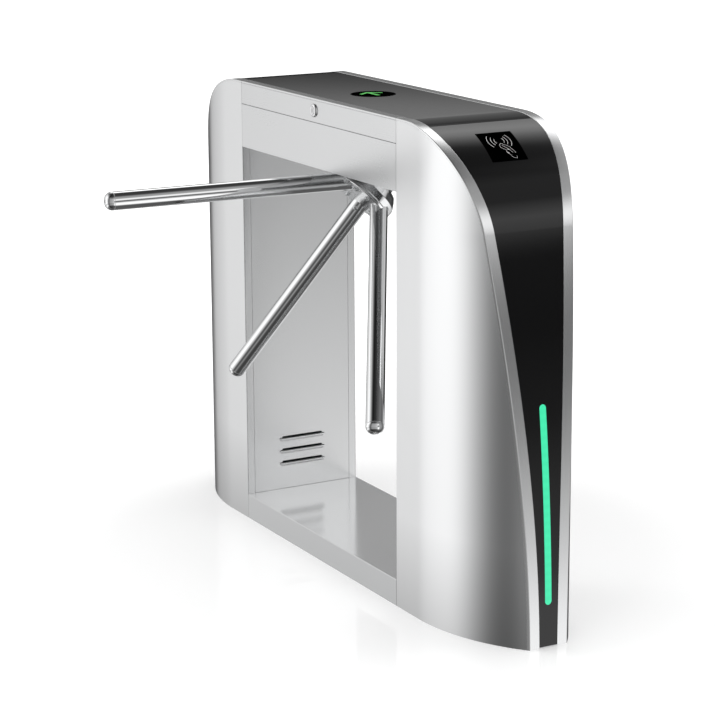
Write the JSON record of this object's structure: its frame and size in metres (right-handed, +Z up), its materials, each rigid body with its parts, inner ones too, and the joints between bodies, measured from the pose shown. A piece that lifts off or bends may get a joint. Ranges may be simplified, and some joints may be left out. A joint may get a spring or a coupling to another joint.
{
  "type": "tripod turnstile",
  "caption": "Bridge-type tripod turnstile that counts visitors: steel columns and head over an open portal, black ends with light bars, three chrome arms on a tilted hub.",
  "frame": {"origin": "on the floor in the middle of the cabinet, which is the centre of the floor anchor pattern", "axes": "+X along the cabinet's long side, +Z up, and the arm that bars the lane points to -Y"},
  "size_m": [1.3834, 0.7395, 1],
  "materials": {
    "satin_steel": "brushed satin, vertical grain",
    "bright_trim": "fine bright brushed",
    "black_glass": "polished black",
    "light": "glowing mint green diffuser",
    "reader_glass": "satin black window",
    "indicator": "polished black window",
    "arrow": "glowing green",
    "arm_chrome": "polished",
    "hub_metal": "machined and polished",
    "zinc": "zinc plated",
    "cast": "as cast",
    "board": "circuit board",
    "dark_plastic": "moulded",
    "grey_plastic": "moulded",
    "coil": "enamelled",
    "lock_metal": "nickel plated"
  },
  "bodies": {
    "cabinet": {"base_rail": "satin_steel", "foot_plates": "zinc", "uprights": "zinc", "head_frame": "zinc", "shell_front_right": "satin_steel", "shell_rear_right": "satin_steel", "shell_front_left": "satin_steel", "shell_rear_left": "satin_steel", "inner_wall_right": "satin_steel", "inner_wall_left": "satin_steel", "end_carrier_right": "zinc", "end_carrier_left": "zinc", "edge_trims_right": "bright_trim", "edge_trims_left": "bright_trim", "end_panel_right": "black_glass", "end_panel_left": "black_glass", "light_bar_right": "light", "light_bar_left": "light", "led_boards": "board", "reader_window_right": "reader_glass", "reader_window_left": "reader_glass", "card_readers": "dark_plastic", "fascia_front": "satin_steel", "fascia_rear": "satin_steel", "soffit_panel": "satin_steel", "mech_tray": "zinc", "bearing_housing": "cast", "bearings": "lock_metal", "latch_plate": "zinc", "pawl_pins": "lock_metal", "solenoids": "coil", "controller_case": "grey_plastic", "power_supply": "grey_plastic", "pass_counter": "dark_plastic", "lock_keeper": "zinc"},
    "lid": {"lid_skirt_front": "satin_steel", "lid_skirt_rear": "satin_steel", "lid_trims": "bright_trim", "lid_ribs": "zinc", "top_panel": "black_glass", "indicator_window": "indicator", "arrow_lens": "arrow", "lock_housing": "lock_metal"},
    "lock": {"lock_plug": "lock_metal", "lock_cam": "zinc"},
    "tripod": {"hub": "hub_metal", "hub_cover": "hub_metal", "hub_bolts": "lock_metal", "shaft": "lock_metal", "index_disc": "zinc", "shaft_nut": "zinc", "arm_sockets": "satin_steel", "arm_1": "arm_chrome", "arm_2": "arm_chrome", "arm_3": "arm_chrome", "arm_caps": "arm_chrome"},
    "pawl_r": {"pawl_right": "zinc"},
    "pawl_l": {"pawl_left": "zinc"},
    "plunger_r": {"plunger_right": "lock_metal"},
    "plunger_l": {"plunger_left": "lock_metal"}
  },
  "joints": [
    {"name": "tripod_turn", "type": "hinge", "parent": "cabinet", "child": "tripod", "pos_m": [0, 0.014, 0.821], "axis": [0, -0.7431, -0.6691], "continuous": true},
    {"name": "lid_lift", "type": "slide", "parent": "cabinet", "child": "lid", "axis": [0, 0, 1], "range_m": [0, 0.15]},
    {"name": "lock_turn", "type": "hinge", "parent": "lid", "child": "lock", "pos_m": [0, -0.14, 0.975], "axis": [0, -1, 0], "range_deg": [0, 90]},
    {"name": "pawl_right_swing", "type": "hinge", "parent": "cabinet", "child": "pawl_r", "pos_m": [0.052, 0.07745, 0.92389], "axis": [0, 0.7431, 0.6691], "range_deg": [0, 12], "stiffness_Nm_per_rad": 0.05, "springref_deg": -20.05},
    {"name": "pawl_left_swing", "type": "hinge", "parent": "cabinet", "child": "pawl_l", "pos_m": [-0.052, 0.07745, 0.92389], "axis": [0, -0.7431, -0.6691], "range_deg": [0, 12], "stiffness_Nm_per_rad": 0.05, "springref_deg": -20.05},
    {"name": "plunger_right_push", "type": "slide", "parent": "cabinet", "child": "plunger_r", "axis": [-1, 0, 0], "range_m": [0, 0.0118]},
    {"name": "plunger_left_push", "type": "slide", "parent": "cabinet", "child": "plunger_l", "axis": [1, 0, 0], "range_m": [0, 0.0118]}
  ],
  "couplings": [
    {"joint": "plunger_right_push", "follows": "pawl_right_swing", "m_per_rad": 0.0559},
    {"joint": "plunger_left_push", "follows": "pawl_left_swing", "m_per_rad": 0.0559}
  ]
}
